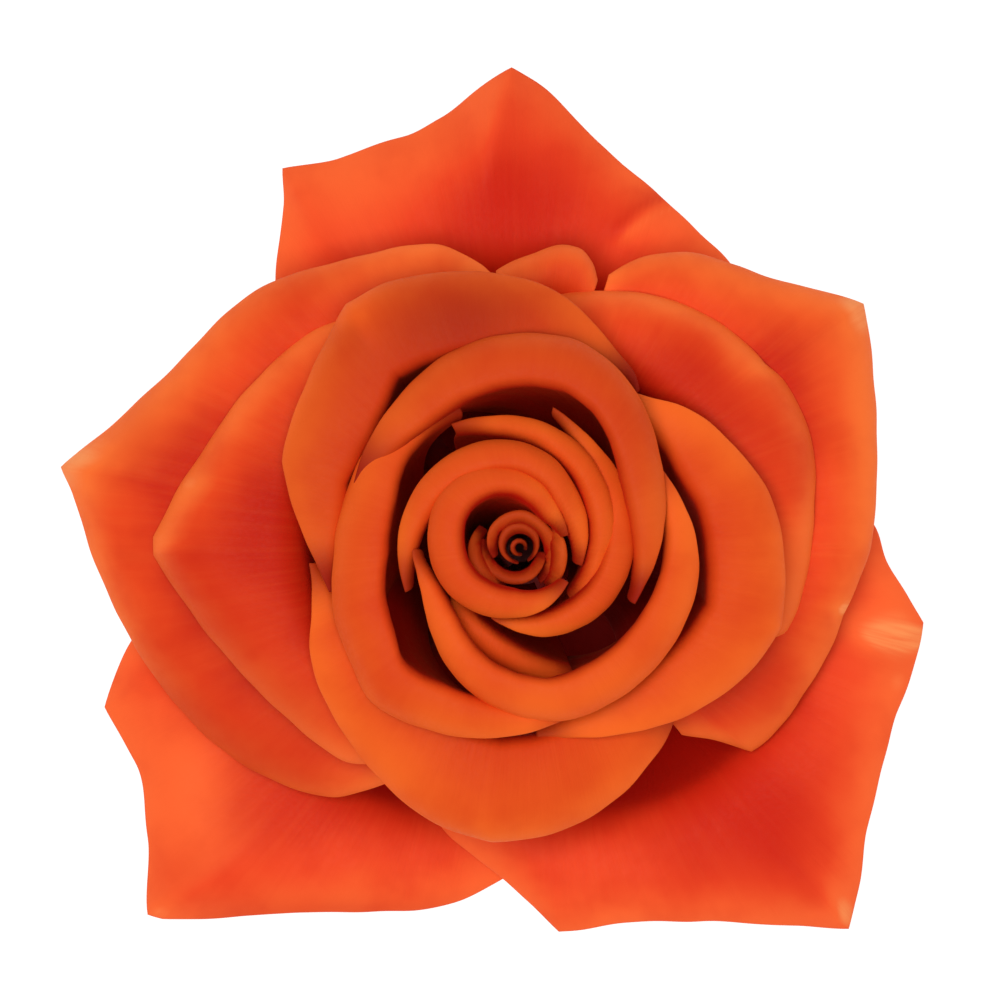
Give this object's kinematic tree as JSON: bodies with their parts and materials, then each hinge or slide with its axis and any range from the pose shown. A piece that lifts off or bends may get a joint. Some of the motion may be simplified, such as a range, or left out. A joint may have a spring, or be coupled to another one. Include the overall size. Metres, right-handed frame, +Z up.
{
  "type": "rose",
  "caption": "Full orange rose bloom, cut short below the hip and set face up, with ruffled guard petals, rolled inner petals and reflexed sepals.",
  "frame": {"origin": "centre of the short stalk's flat cut, on the surface that the bloom rests on", "axes": "+Z up along the bloom's axis, out of its open face; +Y towards the tallest guard petal at the back of the bloom; +X to the right seen from above"},
  "size_m": [0.1039, 0.1042, 0.0574],
  "materials": {
    "petal_guard": "soft matt velvet, pinkish red-orange",
    "petal_outer": "soft matt velvet, orange with a paler rim",
    "petal_ring": "soft matt velvet, yellow-orange at the rolled rim and red in the hollow",
    "petal_heart": "soft matt velvet, deep orange",
    "hip_green": "smooth, slightly waxy green",
    "sepal_green": "matt green, downy"
  },
  "bodies": {
    "root": {"hip": "hip_green", "sepal_1": "sepal_green", "sepal_2": "sepal_green", "sepal_3": "sepal_green", "sepal_4": "sepal_green", "sepal_5": "sepal_green", "petal_guard_back": "petal_guard", "petal_guard_left": "petal_guard", "petal_guard_right": "petal_guard", "petal_outer_left": "petal_outer", "petal_outer_right": "petal_outer", "petal_outer_top": "petal_outer", "petal_second_left": "petal_outer", "petal_second_right": "petal_outer", "petal_third_top": "petal_ring", "petal_third_right": "petal_ring", "petal_third_bottom": "petal_ring", "petal_fourth_left": "petal_ring", "petal_fourth_top": "petal_ring", "petal_fourth_bottom": "petal_ring", "petal_heart_09": "petal_heart", "petal_heart_08": "petal_heart", "petal_heart_07": "petal_heart", "petal_heart_06": "petal_heart", "petal_heart_05": "petal_heart", "petal_heart_04": "petal_heart", "petal_heart_03": "petal_heart", "petal_heart_02": "petal_heart", "petal_heart_01": "petal_heart", "petal_bud_outer": "petal_heart", "petal_bud_inner": "petal_heart"}
  },
  "joints": []
}
